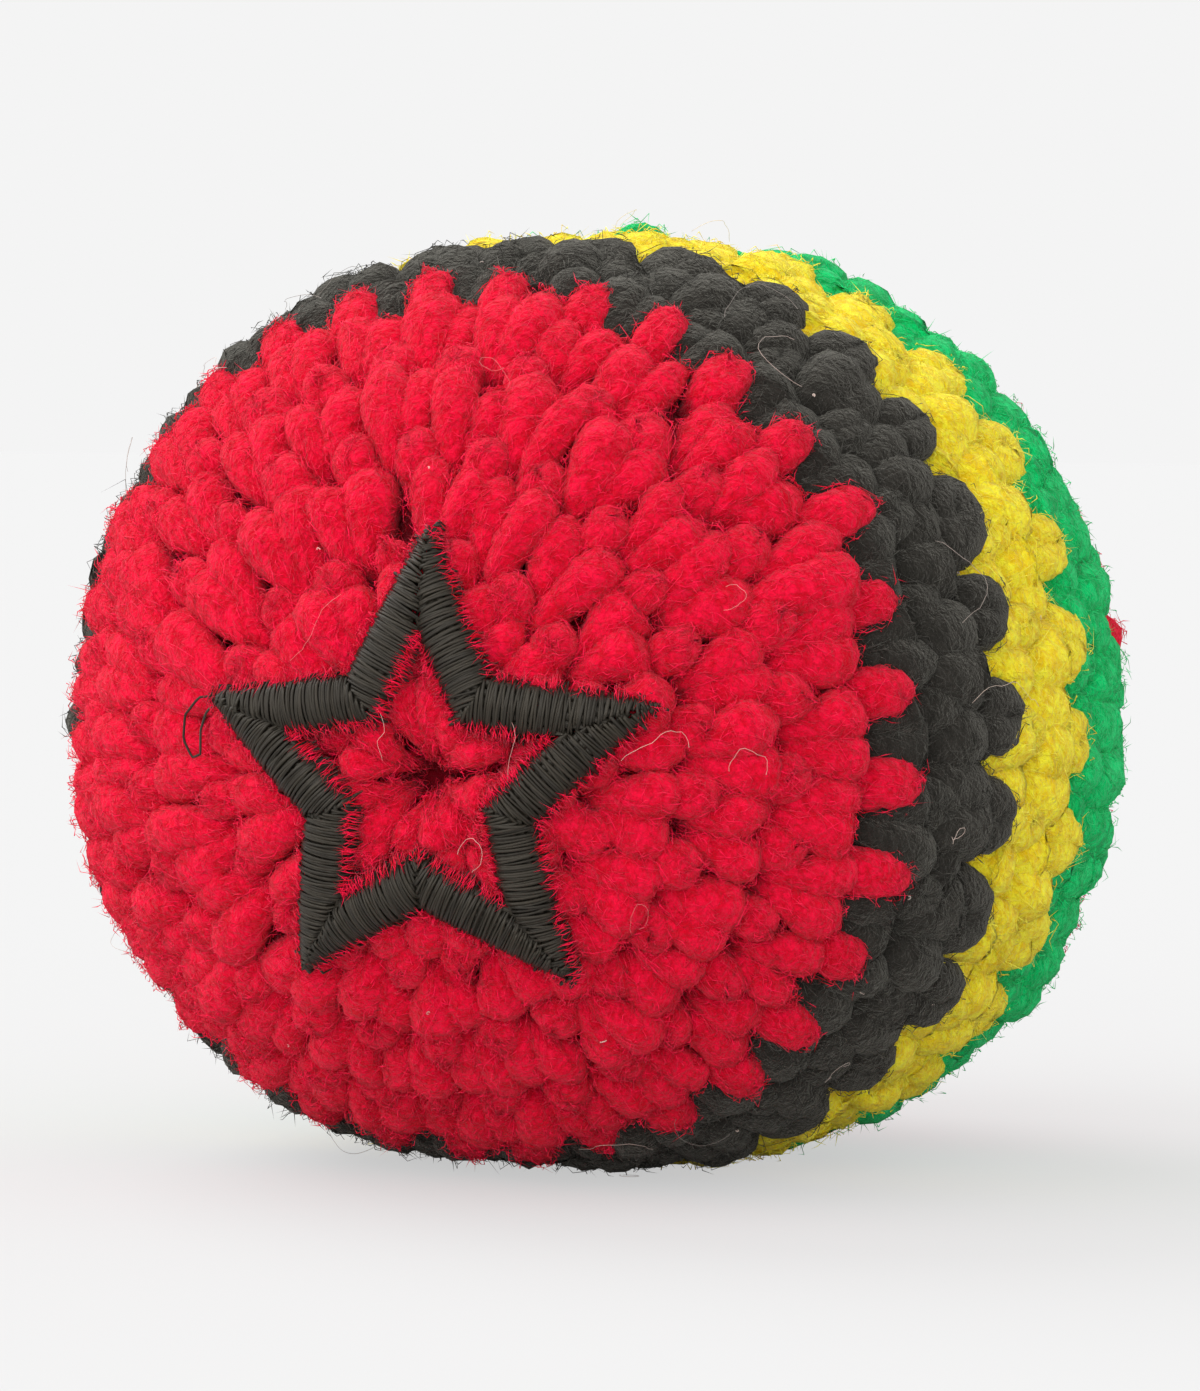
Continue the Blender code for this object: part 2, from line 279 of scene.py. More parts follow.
# Centre line and thickness of the arms numbered in which, at the steps s, a row for each
def armLine(arms, which, s):
    arm = {name: values[which][:, None] for name, values in arms.items()}
    along = np.interp(s, armSteps, armShape["along"])
    sideways = armValue("sideways", s, arm["join"])
    top = armValue("top", s, arm["join"]) * mm
    thickness = armValue("thickness", s, arm["join"])
    polar = arm["low"] + (arm["high"] - arm["low"]) * along
    radius = armShape["radius"] * arm["pitch"] * np.sin(polar) * meanRadius
    radius = np.clip(radius * arm["size"], armShape["least"], armShape["most"]) * thickness
    radius = radius * lumpiness(s, arm["lumps"])
    direction = crochetDirection(polar, arm["middle"] + arm["side"] * sideways)
    return onBag(direction, radius - top - arm["lift"], radius + armShape["clearance"]), radius


def toothLine(teeth, which, s):
    tooth = {name: values[which][:, None] for name, values in teeth.items()}
    along = np.interp(s, toothSteps, toothShape["along"])
    sideways = np.interp(s, toothSteps, toothShape["sideways"]) * tooth["half"]
    top = np.interp(s, toothSteps, toothShape["top"]) * mm
    thickness = np.interp(s, toothSteps, toothShape["thickness"])
    radius = thickness * tooth["radius"] * lumpiness(s, tooth["lumps"])
    polar = tooth["low"] + (tooth["high"] - tooth["low"]) * along
    direction = crochetDirection(polar, tooth["middle"] + sideways / meanRadius / np.sin(polar))
    return onBag(direction, radius - top - tooth["lift"], radius + armShape["clearance"]), radius


def ringProfile(name, sides):
    data = bpy.data.curves.new(name, "CURVE")
    spline = data.splines.new("POLY")
    spline.points.add(sides - 1)
    for i, point in enumerate(spline.points):
        turn = 2 * math.pi * i / sides
        point.co = (math.cos(turn), math.sin(turn), 0, 1)
    spline.use_cyclic_u = True
    ring = bpy.data.objects.new(name, data)
    bpy.context.scene.collection.objects.link(ring)
    return ring


# Tubes along the paths, all in one mesh, closed at their ends; their map turns with the twist
def tubes(name, paths, radii, sides, twist=0):
    data = bpy.data.curves.new(name + "Lines", "CURVE")
    data.dimensions = "3D"
    ring = ringProfile(name + "Ring", sides)
    data.bevel_mode = "OBJECT"
    data.bevel_object = ring
    data.use_fill_caps = True
    for path, radius in zip(paths, radii):
        spline = data.splines.new("POLY")
        spline.points.add(len(path) - 1)
        places = np.ones((len(path), 4))
        places[:, :3] = path
        spline.points.foreach_set("co", places.ravel())
        spline.points.foreach_set("radius", radius)
        if twist:
            lengths = np.linalg.norm(np.diff(path, axis=0), axis=1)
            spline.points.foreach_set("tilt", twist * np.concatenate([[0], np.cumsum(lengths)]))
    lines = bpy.data.objects.new(name + "Lines", data)
    bpy.context.scene.collection.objects.link(lines)
    depsgraph = bpy.context.evaluated_depsgraph_get()
    mesh = bpy.data.meshes.new_from_object(lines.evaluated_get(depsgraph))
    mesh.name = name
    bpy.data.objects.remove(lines)
    bpy.data.objects.remove(ring)
    bpy.data.curves.remove(data)
    return mesh


def weld(mesh):
    work = bmesh.new()
    work.from_mesh(mesh)
    bmesh.ops.remove_doubles(work, verts=work.verts, dist=weldDistance)
    bmesh.ops.dissolve_degenerate(work, edges=work.edges, dist=weldDistance / 10)
    work.to_mesh(mesh)
    work.free()


# How far each point lies under the bag's smooth form, for the material's painted shade in the holes
def markDepth(mesh):
    places = np.empty(len(mesh.vertices) * 3)
    mesh.vertices.foreach_get("co", places)
    places = places.reshape(-1, 3) - bagCentre
    reach = np.linalg.norm(places, axis=1)
    depth = bagReach(places / reach[:, None]) - reach
    mesh.attributes.new("depth", "FLOAT", "POINT").data.foreach_set("value", depth)


def pipeAlong(path, steps):
    lengths = np.concatenate([[0], np.cumsum(np.linalg.norm(np.diff(path, axis=0), axis=1))])
    share = lengths / lengths[-1]
    return np.stack([np.interp(steps, share, path[:, i]) for i in range(3)], -1)


def addPiece(name, mesh, material):
    mesh.materials.clear()
    mesh.materials.append(material)
    mesh.shade_smooth()
    piece = bpy.data.objects.new(name, mesh)
    bpy.context.scene.collection.objects.link(piece)
    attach(piece, "root")
    return piece


# Yarn colours: painted shade down in the holes; between fibres, a darker tone that is partly painted shade;
# on the fibres; and on the fuzz that catches light
yarns = {
    "red": {"hole": (0.16, 0.0, 0.006), "deep": (0.6, 0.0002, 0.014), "bright": (0.9, 0.004, 0.044),
            "fuzz": (0.98, 0.01, 0.07), "sheen": (1.0, 0.42, 0.46), "sheenWeight": 0.19},
    "black": {"hole": (0.008, 0.007, 0.006), "deep": (0.017, 0.0155, 0.013),
              "bright": (0.027, 0.0245, 0.021), "fuzz": (0.033, 0.03, 0.026),
              "sheen": (1.0, 0.97, 0.85), "sheenWeight": 0.22},
    "yellow": {"hole": (0.6, 0.3, 0.0), "deep": (0.82, 0.54, 0.004), "bright": (0.95, 0.85, 0.03),
               "fuzz": (0.98, 0.92, 0.08), "sheen": (1.0, 1.0, 0.6), "sheenWeight": 0.25},
    "green": {"hole": (0.0, 0.16, 0.03), "deep": (0.001, 0.36, 0.08), "bright": (0.001, 0.62, 0.16),
              "fuzz": (0.004, 0.72, 0.2), "sheen": (0.5, 1.0, 0.7), "sheenWeight": 0.2},
}


def newMaterial(name):
    material = bpy.data.materials.new(name)
    material.use_nodes = True
    nodes = material.node_tree.nodes
    return material, nodes, material.node_tree.links, nodes["Principled BSDF"]


def addNode(nodes, kind, **settings):
    node = nodes.new(kind)
    for name, value in settings.items():
        if hasattr(node, name):
            setattr(node, name, value)
        else:
            node.inputs[name].default_value = value
    return node


# Adds a share of a value to a total, which is None at the start
def addShare(nodes, links, total, value, share):
    scaled = addNode(nodes, "ShaderNodeMath", operation="MULTIPLY_ADD")
    scaled.inputs[1].default_value = share
    scaled.inputs[2].default_value = 0.0
    links.new(value, scaled.inputs[0])
    if total:
        links.new(total, scaled.inputs[2])
    return scaled.outputs[0]


# A colour between two, by a value that runs between two positions
def addRamp(nodes, links, value, positions, colours):
    ramp = addNode(nodes, "ShaderNodeValToRGB")
    for element, position, colour in zip(ramp.color_ramp.elements, positions, colours):
        element.position = position
        element.color = (*colour, 1)
    links.new(value, ramp.inputs["Fac"])
    return ramp.outputs["Color"]


def makeSoft(shader, finish, yarn):
    shader.inputs["Roughness"].default_value = finish["roughness"]
    shader.inputs["Specular IOR Level"].default_value = finish["specular"]
    shader.inputs["Sheen Weight"].default_value = yarn["sheenWeight"]
    shader.inputs["Sheen Roughness"].default_value = finish["sheenRoughness"]
    shader.inputs["Sheen Tint"].default_value = (*yarn["sheen"], 1)


# Noise for the fibres along the yarn, by how often it repeats round and along it, and for their
# crimp, by its scale, each with its share of the relief
yarnFinish = {
    "fibres": [((22, 9, 1), 1.0), ((60, 20, 1), 0.5)],
    "crimp": [(1700, 1.0), (4200, 0.5)],
    "positions": (0.43, 0.57),
    # Between these depths the yarn darkens to its hole colour: painted shade in the holes
    "holeShadeFrom": 0.7 * mm,        # depths between which the yarn darkens
    "holeShadeTo": 1.9 * mm,
    "bump": 0.3 * mm,
    "roughness": 0.9,
    "specular": 0.05,
    "sheenRoughness": 0.5,
}
fuzzFinish = {
    "clumpScale": 1500,
    "fibreShare": 0.3,            # of the colour's changes, from fibre to fibre
    "clumpShare": 0.7,            # and from clump to clump
    "positions": (0.36, 0.6),
    "roughness": 0.75,
    "specular": 0.1,
    "sheenRoughness": 0.4,
}


# The map runs round the yarn in U and along it in V
def yarnMaterial(name, yarn):
    material, nodes, links, shader = newMaterial(name)
    place = addNode(nodes, "ShaderNodeTexCoord")
    relief = None
    for stretch, share in yarnFinish["fibres"]:
        along = addNode(nodes, "ShaderNodeMapping", Scale=stretch)
        links.new(place.outputs["UV"], along.inputs["Vector"])
        fibres = addNode(nodes, "ShaderNodeTexNoise", Scale=1.0, Detail=3, Roughness=0.6, Distortion=0.8)
        links.new(along.outputs["Vector"], fibres.inputs["Vector"])
        relief = addShare(nodes, links, relief, fibres.outputs["Fac"], share)
    for scale, share in yarnFinish["crimp"]:
        crimp = addNode(nodes, "ShaderNodeTexNoise", Scale=scale, Detail=3, Roughness=0.6, Distortion=1.2)
        links.new(place.outputs["Object"], crimp.inputs["Vector"])
        relief = addShare(nodes, links, relief, crimp.outputs["Fac"], share)
    mean = addNode(nodes, "ShaderNodeMath", operation="DIVIDE")
    mean.inputs[1].default_value = sum(share for size, share in yarnFinish["fibres"] + yarnFinish["crimp"])
    links.new(relief, mean.inputs[0])
    # Random fibre tone that is darker where the bump relief is low: partly painted shade between the fibres
    colour = addRamp(nodes, links, mean.outputs[0], yarnFinish["positions"], (yarn["deep"], yarn["bright"]))
    # Painted shade: the deeper the yarn lies under the bag's form, the nearer it comes to its hole colour
    depth = addNode(nodes, "ShaderNodeAttribute", attribute_name="depth")
    holeShading = addNode(nodes, "ShaderNodeMapRange")
    holeShading.inputs["From Min"].default_value = yarnFinish["holeShadeFrom"]
    holeShading.inputs["From Max"].default_value = yarnFinish["holeShadeTo"]
    links.new(depth.outputs["Fac"], holeShading.inputs["Value"])
    shade = addNode(nodes, "ShaderNodeMix", data_type="RGBA")
    links.new(holeShading.outputs["Result"], shade.inputs["Factor"])
    links.new(colour, shade.inputs[6])
    shade.inputs[7].default_value = (*yarn["hole"], 1)
    links.new(shade.outputs[2], shader.inputs["Base Color"])
    bump = addNode(nodes, "ShaderNodeBump", Strength=1.0, Distance=yarnFinish["bump"])
    links.new(relief, bump.inputs["Height"])
    links.new(bump.outputs["Normal"], shader.inputs["Normal"])
    makeSoft(shader, yarnFinish, yarn)
    return material


def fuzzMaterial(name, yarn):
    material, nodes, links, shader = newMaterial(name)
    piece = addNode(nodes, "ShaderNodeNewGeometry")
    place = addNode(nodes, "ShaderNodeTexCoord")
    clumps = addNode(nodes, "ShaderNodeTexNoise", Scale=fuzzFinish["clumpScale"], Detail=2, Roughness=0.6,
                     Distortion=1.0)
    links.new(place.outputs["Object"], clumps.inputs["Vector"])
    mixed = addShare(nodes, links, None, piece.outputs["Random Per Island"], fuzzFinish["fibreShare"])
    mixed = addShare(nodes, links, mixed, clumps.outputs["Fac"], fuzzFinish["clumpShare"])
    colour = addRamp(nodes, links, mixed, fuzzFinish["positions"], (yarn["deep"], yarn["fuzz"]))
    links.new(colour, shader.inputs["Base Color"])
    makeSoft(shader, fuzzFinish, yarn)
    return material


yarnMaterials = {name: yarnMaterial(name + "Yarn", yarn) for name, yarn in yarns.items()}
fuzzMaterials = {name: fuzzMaterial(name + "Fuzz", yarn) for name, yarn in yarns.items()}


# The inside of the crochet, behind the stitches: spun as a ball of radius 1, then set in the bag
lining = {"depth": 2.2 * mm, "steps": 64, "arcPoints": 4, "weld": 0.01 * mm}


def makeLining(section):
    start = section["firstRound"] - 1
    rounds = np.linspace(start, start + section["rounds"], section["rounds"] * lining["arcPoints"] + 1)
    polar = polarOf(rounds)
    if start + section["rounds"] == totalRounds:
        polar = np.minimum(polar, math.pi - bag["closeHoleRadius"] / (halfLength - bag["wall"]))
    work = bmesh.new()
    line = []
    depths = [lining["depth"]] * len(polar) + [bag["wall"]] * len(polar)
    for angle, depth in zip(np.concatenate([polar, polar[::-1]]), depths):
        radius = 1 - depth / meanRadius
        line.append(work.verts.new((0, -radius * math.cos(angle), radius * math.sin(angle))))
    edges = [work.edges.new(pair) for pair in zip(line, line[1:])]
    if start > 0:
        edges.append(work.edges.new((line[-1], line[0])))
    bmesh.ops.spin(work, geom=line + edges, cent=(0, 0, 0), axis=(0, 1, 0), angle=2 * math.pi,
                   steps=lining["steps"], use_merge=True)
    bmesh.ops.remove_doubles(work, verts=work.verts, dist=lining["weld"])
    for vertex in work.verts:
        radius = vertex.co.length
        depth = (1 - radius) * meanRadius
        polar = math.acos(max(min(-vertex.co.y / radius, 1), -1))
        around = math.atan2(vertex.co.x, vertex.co.z)
        direction = crochetDirection(np.array(polar), np.array(around))
        vertex.co = onBag(direction, np.array(depth), np.array(depth))
    bmesh.ops.recalc_face_normals(work, faces=work.faces)
    # A spin leaves its faces in another order each run, so they are put in line from front to back
    inLine = Vector((0.061, 1.0, 0.037))
    work.verts.sort(key=lambda vertex: vertex.co.dot(inLine))
    work.faces.sort(key=lambda face: face.calc_center_median().dot(inLine))
    return work


# Fuzz: short kinked fibres wound round the yarn, and longer ones that lift off at their ends
fuzz = {
    "short": {"length": (0.4 * mm, 0.95 * mm), "radius": 0.03 * mm, "steps": [0, 0.5, 1.0],
              "lift": 0.2 * mm, "curl": 0.24 * mm, "mostPerPiece": 30000,
              "perArm": {"red_front": 290, "black": 100, "yellow": 115, "green": 105, "red_back": 115}},
    "long": {"length": (1.2 * mm, 2.6 * mm), "radius": 0.02 * mm, "steps": [0, 0.3, 0.65, 1.0],
             "lift": 0.3 * mm, "curl": 0.3 * mm, "mostPerPiece": 15000,
             "perArm": {"red_front": 30, "black": 28, "yellow": 20, "green": 20, "red_back": 20}},
    "perTooth": 0.75,             # of the number on an arm
    "slant": 0.6,                 # radians, the twist of the yarn
    "slantSpread": 0.8,
    "tuft": 0.3 * mm,             # how far fibres rise and sink in tufts
    "tuftSize": 1.0 * mm,
    "reach": 2.2,                 # radians either side of the outer line of the arm
    "start": 0.08,                # fibres start past this share of the arm
    "least": 0.02,                # and keep between these
    "most": 0.998,
    "stride": 0.02,               # share of the arm over which its direction is taken
    "rooted": 0.98,               # of the yarn's radius
    "liftPower": 1.5,
    "tip": 0.02,                  # of the fibre's radius
    "floor": 0.06 * mm,
}

# Waves that cross at all angles and add up to tufts
tuftWaves = rng.normal(0, 1, (3, 7))
tuftWaves *= 2 * math.pi / fuzz["tuftSize"] / np.linalg.norm(tuftWaves, axis=0)
tuftPhases = rng.uniform(0, 2 * math.pi, 7)


# Fibres on the yarns numbered in which; lineAt gives a yarn's centre line and thickness at s
def combFuzz(lineAt, which, yarnLength, kind):
    count = len(which)
    length = rng.uniform(*kind["length"], count)
    heading = np.where(rng.random(count) < 0.5, -1.0, 1.0)
    slant = fuzz["slant"] + rng.normal(0, fuzz["slantSpread"], count)
    start = rng.uniform(fuzz["start"], 1.0, count)
    turn = rng.uniform(-1, 1, count) * fuzz["reach"]
    steps = np.array(kind["steps"])
    s = start[:, None] + (heading * length * np.cos(slant) / yarnLength)[:, None] * steps
    s = np.clip(s, fuzz["least"], fuzz["most"])
    line, radius = lineAt(which, s)
    tangent = lineAt(which, np.minimum(s + fuzz["stride"], 1))[0]
    tangent -= lineAt(which, np.maximum(s - fuzz["stride"], 0))[0]
    tangent /= np.linalg.norm(tangent, axis=-1, keepdims=True)
    outward = line - bagCentre
    outward -= (outward * tangent).sum(-1, keepdims=True) * tangent
    outward /= np.linalg.norm(outward, axis=-1, keepdims=True)
    across = np.cross(tangent, outward)
    angle = turn[:, None] + (heading * length * np.sin(slant))[:, None] * steps / radius
    lift = np.abs(rng.normal(0, kind["lift"], count))
    height = radius * fuzz["rooted"] + lift[:, None] * steps ** fuzz["liftPower"]
    height[:, 1:-1] += 0.5 * kind["radius"]
    offset = outward * np.cos(angle)[..., None] + across * np.sin(angle)[..., None]
    points = line + offset * height[..., None]
    tufts = np.sin(points @ tuftWaves + tuftPhases).mean(axis=-1)
    points += offset * (fuzz["tuft"] * 2 * tufts)[..., None]
    points[:, 1:] += rng.normal(0, kind["curl"] / 2, (count, len(steps) - 1, 3))
    points[..., 2] = np.maximum(points[..., 2], fuzz["floor"])
    return points


# Thin fibres, pointed at both ends
def addFibres(name, points, radius, mostPerPiece, material):
    thickness = np.full(points.shape[1], radius)
    thickness[[0, -1]] *= fuzz["tip"]
    parts = math.ceil(len(points) / mostPerPiece)
    for i, some in enumerate(np.array_split(points, parts)):
        pieceName = f"{name}_{i + 1}" if parts > 1 else name
        mesh = tubes(pieceName, some, [thickness] * len(some), 3)
        weld(mesh)
        addPiece(pieceName, mesh, material)
    print(name, len(points), "fibres")


bulges = bpy.data.textures.new("bulges", "CLOUDS")
bulges.noise_scale = unevenness["bulgeSize"]
bulges.noise_depth = 1


def makeSection(section):
    name = section["name"]
    rounds = range(section["firstRound"], section["firstRound"] + section["rounds"])
    arms = joinRounds([makeArms(section, number) for number in rounds])
    teeth = joinRounds([makeTeeth(section, number) for number in rounds if number < totalRounds])
    armCount, toothCount = len(arms["middle"]), len(teeth["middle"])
    line, radius = armLine(arms, np.arange(armCount), np.tile(armSteps, (armCount, 1)))
    paths = [np.concatenate([line[i][::-1], line[i + 1]]) for i in range(0, armCount, 2)]
    radii = [np.concatenate([radius[i][::-1], radius[i + 1]]) for i in range(0, armCount, 2)]
    line, radius = toothLine(teeth, np.arange(toothCount), np.tile(toothSteps, (toothCount, 1)))
    mesh = tubes(name + "_stitches", paths + list(line), radii + list(radius), armShape["sides"],
                 armShape["twist"])
    weld(mesh)
    work = makeLining(section)
    work.from_mesh(mesh)
    work.to_mesh(mesh)
    work.free()
    markDepth(mesh)
    stitches = addPiece(name + "_stitches", mesh, yarnMaterials[section["yarn"]])
    bulge = stitches.modifiers.new("bulges", "DISPLACE")
    bulge.texture = bulges
    bulge.texture_coords = "LOCAL"
    bulge.strength = unevenness["bulges"]
    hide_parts(section["node"])
    print(name, len(paths), "stitches")

    def alongArms(which, s):
        return armLine(arms, which, s)

    def alongTeeth(which, s):
        return toothLine(teeth, which, s)

    for kindName in ("short", "long"):
        kind = fuzz[kindName]
        perArm = kind["perArm"][name]
        which = np.repeat(np.arange(armCount), perArm)
        length = ((arms["high"] - arms["low"]) * meanRadius * armShape["stretch"])[which]
        onArms = combFuzz(alongArms, which, length, kind)
        which = np.repeat(np.arange(toothCount), round(perArm * fuzz["perTooth"]))
        length = ((teeth["high"] - teeth["low"]) * meanRadius * 2 + teeth["half"] * 2)[which]
        onTeeth = combFuzz(alongTeeth, which, length, kind)
        addFibres(f"{name}_{kindName}_fuzz", np.concatenate([onArms, onTeeth]), kind["radius"],
                  kind["mostPerPiece"], fuzzMaterials[section["yarn"]])


for section in sections:
    makeSection(section)


# The star on the front cap: satin stitches laid across one stroke, over a padding of long threads
star = {
    "tips": 5,
    "radius": 12.4 * mm,
    "waistShare": 0.5,
    "stroke": 2.4 * mm,
    "clearance": 0.5 * mm,        # from the floor
    "lift": 0.65 * mm,            # of the stroke's edges, over the smooth bag
    "crown": 0.65 * mm,           # how much higher its middle is
    "pitch": 0.115 * mm,
    "threadRadius": 0.09 * mm,
    "threadPoints": 9,
    "thicker": 0.1,               # how much threads differ in thickness
    "thinEnd": 0.5,               # of a thread's radius
    "sides": 5,
    "overhang": 0.18 * mm,        # how far the threads' ends reach past the stroke, unevenly
    "ragged": 0.13 * mm,
    "tuck": 0.75 * mm,            # how far they go down into the yarn
    "cornerTuck": 0.3 * mm,       # and where they end at a corner's middle line
    "slip": 0.07 * mm,
    "bump": 0.03 * mm,
    "padding": [0.35, 0.8, 1.2, 1.6, 2.05],    # mm in from the outline
    "paddingRadius": 0.36 * mm,
    "paddingBelow": 0.1 * mm,
    "paddingPoints": 8,           # on each side
    # A thread that has come loose at the left tip, in mm: to the right, up and out from the middle
    "looseLoop": [(-11.2, 3.8, 0.3), (-12.2, 3.6, 1.0), (-12.9, 2.7, 1.2), (-13.2, 1.5, 1.0),
                  (-12.8, 0.6, 0.8), (-12.2, 0.8, 0.8), (-12.1, 2.0, 0.9), (-11.8, 3.0, 0.8),
                  (-11.1, 3.5, 0.3)],
    "looseRadius": 0.07 * mm,
    "loosePoints": 30,
}

# Red fibres that come over the stroke's edges, in mm
edgeFuzz = {"count": 1800, "radius": 0.026, "reach": (0.3, 0.8), "curl": 0.14, "lift": 0.25,
            "rootBelow": 0.35, "steps": [-0.8, 0.1, 0.7]}


def starPlace(flat, height):
    arc = np.linalg.norm(flat, axis=-1, keepdims=True)
    right = np.cross([0, 0, 1], startMiddle)
    right /= np.linalg.norm(right)
    up = np.cross(startMiddle, right)
    sideways = (right * flat[..., :1] + up * flat[..., 1:]) / arc
    angle = arc / meanRadius
    direction = startMiddle * np.cos(angle) + sideways * np.sin(angle)
    return onBag(direction, -height, star["clearance"])


def starCorners(scale):
    turns = np.arange(2 * star["tips"]) * math.pi / star["tips"]
    radii = star["radius"] * scale * np.where(np.arange(2 * star["tips"]) % 2, star["waistShare"], 1)
    return np.stack([radii * np.sin(turns), radii * np.cos(turns)], -1)


def strokeHeight(inwards):
    share = np.clip(inwards / star["stroke"], 0, 1)
    return star["lift"] + star["crown"] * np.sqrt(np.sin(math.pi * share).clip(0, 1))


corners = starCorners(1)
following = np.roll(corners, -1, axis=0)
sideLength = np.linalg.norm(following[0] - corners[0])
sideDistance = abs(corners[0][0] * following[0][1] - corners[0][1] * following[0][0]) / sideLength


# Threads across the stroke, side by side; each side's are cut off by the corners at its ends
def satinThreads():
    paths, radii = [], []
    side = following[0] - corners[0]
    innerScale = 1 - star["stroke"] / sideDistance
    atTip = star["stroke"] / math.tan(math.acos(-side @ corners[0] / sideLength / star["radius"]))
    atWaist = atTip + innerScale * sideLength - sideLength
    across = np.linspace(0, 1, star["threadPoints"])
    thickness = np.ones(star["threadPoints"])
    thickness[[0, -1]] = star["thinEnd"]
    for i, (corner, nextCorner) in enumerate(zip(corners, following)):
        along = (nextCorner - corner) / sideLength
        inward = np.array([along[1], -along[0]])
        if inward @ corner > 0:
            inward = -inward
        fromTip = corner if i % 2 == 0 else nextCorner
        along = along if i % 2 == 0 else -along
        for x in np.arange(0.5 * star["pitch"], sideLength + atWaist, star["pitch"]):
            near = max(0, (x - sideLength) * star["stroke"] / atWaist)
            far = min(1, x / atTip) * star["stroke"]
            if far - near < 0.5 * star["threadRadius"]:
                continue
            ends = near - star["overhang"] * (near == 0), far + star["overhang"] * (x > atTip)
            ends = np.array(ends) + rng.normal(0, star["ragged"], 2)
            inwards = ends[0] + (ends[1] - ends[0]) * across
            slip = rng.normal(0, star["slip"] / 2) + (2 * across - 1) * rng.normal(0, star["slip"])
            flat = fromTip + along * (x + slip)[:, None] + inward * inwards[:, None]
            height = strokeHeight(inwards) + rng.normal(0, star["bump"])
            height[0] -= star["tuck"] if near == 0 else star["cornerTuck"]
            height[-1] -= star["tuck"] if x > atTip else star["cornerTuck"]
            paths.append(starPlace(flat, height))
            radii.append(star["threadRadius"] * (1 + rng.normal(0, star["thicker"])) * thickness)
    return paths, radii


def paddingThreads():
    paths = []
    steps = np.linspace(0, 1, star["paddingPoints"])[:-1, None]
    for inwards in star["padding"]:
        ring = starCorners(1 - inwards * mm / sideDistance)
        ring = np.concatenate([ring, ring[:1]])
        flat = np.concatenate([a + (b - a) * steps for a, b in zip(ring, ring[1:])])
        below = star["paddingRadius"] + star["paddingBelow"]
        height = np.full(len(flat), strokeHeight(inwards * mm) - below)
        paths.append(starPlace(flat, height))
    return paths, [np.full(len(path), star["paddingRadius"]) for path in paths]


def looseThread():
    loop = pipeAlong(np.array(star["looseLoop"]) * mm, np.linspace(0, 1, star["loosePoints"]))
    return starPlace(loop[:, :2], loop[:, 2]), np.full(star["loosePoints"], star["looseRadius"])


def makeEdgeFuzz():
    count = edgeFuzz["count"]
    which = rng.integers(0, len(corners), count)
    outside = rng.random(count) < 0.5
    scale = np.where(outside, 1, 1 - star["stroke"] / sideDistance)[:, None]
    share = rng.random(count)[:, None]
    base = scale * (corners[which] + (following[which] - corners[which]) * share)
    inward = (following - corners)[which][:, ::-1] * [1, -1]
    inward /= np.linalg.norm(inward, axis=1, keepdims=True)
    inward *= np.where((inward * corners[which]).sum(1) > 0, -1, 1)[:, None]
    inward *= np.where(outside, 1, -1)[:, None]
    reach = rng.uniform(*edgeFuzz["reach"], count) * mm
    inwards = reach[:, None] * np.array(edgeFuzz["steps"])
    flat = base[:, None] - inward[:, None] * star["overhang"] + inward[:, None] * inwards[..., None]
    flat += rng.normal(0, edgeFuzz["curl"] * mm, flat.shape)
    height = strokeHeight(np.maximum(inwards, 0))
    height += rng.uniform(0.0, edgeFuzz["lift"], height.shape) * mm
    height[:, 0] -= edgeFuzz["rootBelow"] * mm
    addFibres("star_edge_fuzz", starPlace(flat, height), edgeFuzz["radius"] * mm, count,
              fuzzMaterials["red"])


threadFinish = {
    "strands": (6, 30, 1),        # how often they repeat round and along the thread
    "slant": 0.5,                 # radians
    "threadShare": 0.5,           # how much the colour changes from thread to thread
    "positions": (0.35, 0.95),
    "colours": ((0.0036, 0.003, 0.0022), (0.024, 0.0195, 0.0135)),
    "bump": 0.05 * mm,
    "roughness": 0.38,
    "specular": 0.4,
    "shine": (1.0, 0.93, 0.82),
}


def threadMaterial(name):
    material, nodes, links, shader = newMaterial(name)
    place = addNode(nodes, "ShaderNodeTexCoord")
    slant = addNode(nodes, "ShaderNodeMapping", Scale=threadFinish["strands"],
                    Rotation=(0, 0, threadFinish["slant"]))
    links.new(place.outputs["UV"], slant.inputs["Vector"])
    strands = addNode(nodes, "ShaderNodeTexNoise", Scale=1.0, Detail=3)
    links.new(slant.outputs["Vector"], strands.inputs["Vector"])
    piece = addNode(nodes, "ShaderNodeNewGeometry")
    both = addShare(nodes, links, strands.outputs["Fac"], piece.outputs["Random Per Island"],
                    threadFinish["threadShare"])
    colour = addRamp(nodes, links, both, threadFinish["positions"], threadFinish["colours"])
    links.new(colour, shader.inputs["Base Color"])
    bump = addNode(nodes, "ShaderNodeBump", Strength=0.5, Distance=threadFinish["bump"])
    links.new(strands.outputs["Fac"], bump.inputs["Height"])
    links.new(bump.outputs["Normal"], shader.inputs["Normal"])
    shader.inputs["Roughness"].default_value = threadFinish["roughness"]
    shader.inputs["Specular IOR Level"].default_value = threadFinish["specular"]
    shader.inputs["Specular Tint"].default_value = (*threadFinish["shine"], 1)
    return material


def makeStar():
    paths, radii = satinThreads()
    paddingPaths, paddingRadii = paddingThreads()
    loosePath, looseRadii = looseThread()
    paths += paddingPaths + [loosePath]
    radii += paddingRadii + [looseRadii]
    mesh = tubes("star_thread", paths, radii, star["sides"])
    weld(mesh)
    thread = addPiece("star_thread", mesh, threadMaterial("blackThread"))
    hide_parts("star_embroidery")
    print("star", len(paths), "threads")
    makeEdgeFuzz()


makeStar()

